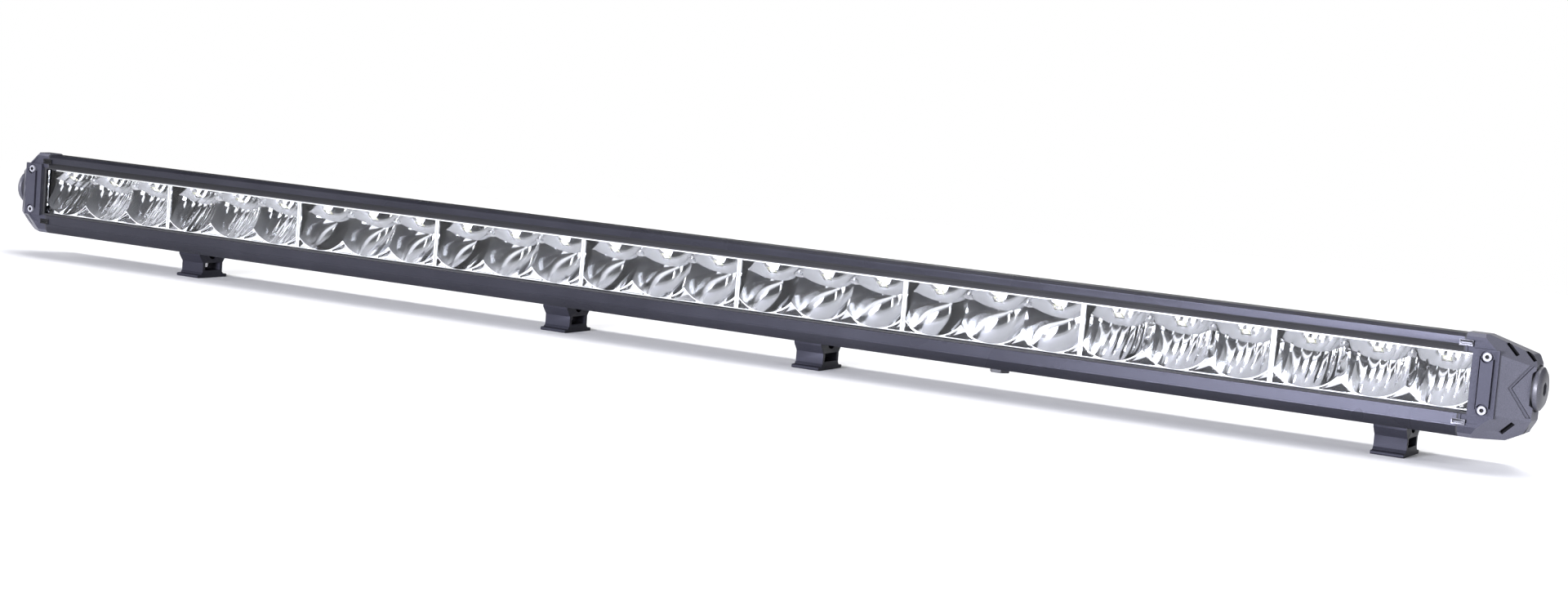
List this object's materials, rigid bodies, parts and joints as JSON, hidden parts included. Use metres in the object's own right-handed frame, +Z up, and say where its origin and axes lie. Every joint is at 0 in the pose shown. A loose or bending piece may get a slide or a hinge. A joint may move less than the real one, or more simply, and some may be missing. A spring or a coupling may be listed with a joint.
{
  "type": "led light bar",
  "caption": "Long straight LED light bar: extruded finned housing, clear lens over a row of chrome reflectors, faceted end caps with bolts, and slide-in feet.",
  "frame": {"origin": "bottom centre of the box, on the plane of the feet's undersides", "axes": "+X along the bar, to the right seen from the lens side; +Y to the back, the lens faces -Y; +Z up"},
  "size_m": [1.2926, 0.0674, 0.0873],
  "materials": {
    "housing_paint": "dark powder coat with a fine sandy texture, satin",
    "lens_clear": "clear, polished",
    "seal_rubber": "matte",
    "reflector_metal": "metallised moulding, mirror bright",
    "board_white": "white solder mask",
    "led_phosphor": "phosphor under clear silicone",
    "pad_grey": "soft, matte",
    "screw_steel": "zinc-plated, satin",
    "screw_bright": "stainless, bright",
    "pcb_green": "solder mask, satin",
    "component_black": "moulded, satin",
    "wire_red": "smooth insulation",
    "gasket_rubber": "matte",
    "cap_paint": "dark powder coat on a die casting, satin",
    "plate_paint": "dark powder coat, satin",
    "clip_bright": "plain stainless, satin",
    "bolt_dark": "dark coating, satin",
    "foot_dark": "dark coating on an extrusion, satin",
    "nut_steel": "zinc-plated, satin",
    "gland_plastic": "moulded, satin",
    "vent_plastic": "moulded, satin"
  },
  "bodies": {
    "bar": {"housing": "housing_paint", "lens": "lens_clear", "lens_seal": "seal_rubber", "reflector_1": "reflector_metal", "reflector_2": "reflector_metal", "reflector_3": "reflector_metal", "reflector_4": "reflector_metal", "reflector_5": "reflector_metal", "reflector_6": "reflector_metal", "reflector_7": "reflector_metal", "reflector_8": "reflector_metal", "reflector_9": "reflector_metal", "led_board_1": "board_white", "led_board_2": "board_white", "led_board_3": "board_white", "led_board_4": "board_white", "led_board_5": "board_white", "led_board_6": "board_white", "led_board_7": "board_white", "led_board_8": "board_white", "led_board_9": "board_white", "leds": "led_phosphor", "thermal_pads": "pad_grey", "module_screws": "screw_steel", "driver_board": "pcb_green", "driver_parts": "component_black", "supply_wires": "wire_red", "module_leads": "wire_red", "end_gasket_left": "gasket_rubber", "end_gasket_right": "gasket_rubber", "end_cap_left": "cap_paint", "end_cap_right": "cap_paint", "clip_pair_left": "clip_bright", "clip_pair_right": "clip_bright", "cap_screws_left": "screw_steel", "cap_screws_right": "screw_steel", "clamp_plate_left": "plate_paint", "clamp_plate_right": "plate_paint", "plate_screws_left": "screw_bright", "plate_screws_right": "screw_bright", "bolt_washer_left": "gasket_rubber", "bolt_washer_right": "gasket_rubber", "cable_gland": "gland_plastic", "gland_nut": "gland_plastic", "gland_seal": "seal_rubber", "breather": "vent_plastic"},
    "foot_1": {"foot_1": "foot_dark", "foot_screw_1": "screw_steel", "slot_nut_1": "nut_steel"},
    "foot_2": {"foot_2": "foot_dark", "foot_screw_2": "screw_steel", "slot_nut_2": "nut_steel"},
    "foot_3": {"foot_3": "foot_dark", "foot_screw_3": "screw_steel", "slot_nut_3": "nut_steel"},
    "foot_4": {"foot_4": "foot_dark", "foot_screw_4": "screw_steel", "slot_nut_4": "nut_steel"},
    "end_bolt_left": {"end_bolt_left": "bolt_dark"},
    "end_bolt_right": {"end_bolt_right": "bolt_dark"}
  },
  "joints": [
    {"name": "foot_slide_1", "type": "slide", "parent": "bar", "child": "foot_1", "axis": [1, 0, 0], "range_m": [-0.12, 0.165]},
    {"name": "foot_slide_2", "type": "slide", "parent": "bar", "child": "foot_2", "axis": [1, 0, 0], "range_m": [-0.16, 0.09]},
    {"name": "foot_slide_3", "type": "slide", "parent": "bar", "child": "foot_3", "axis": [1, 0, 0], "range_m": [-0.1, 0.11]},
    {"name": "foot_slide_4", "type": "slide", "parent": "bar", "child": "foot_4", "axis": [1, 0, 0], "range_m": [-0.2, 0.03]},
    {"name": "end_bolt_turn_left", "type": "hinge", "parent": "bar", "child": "end_bolt_left", "pos_m": [-0.641, -0.0047, 0.055], "axis": [-1, 0, 0], "continuous": true},
    {"name": "end_bolt_turn_right", "type": "hinge", "parent": "bar", "child": "end_bolt_right", "pos_m": [0.641, -0.0047, 0.055], "axis": [1, 0, 0], "continuous": true}
  ]
}
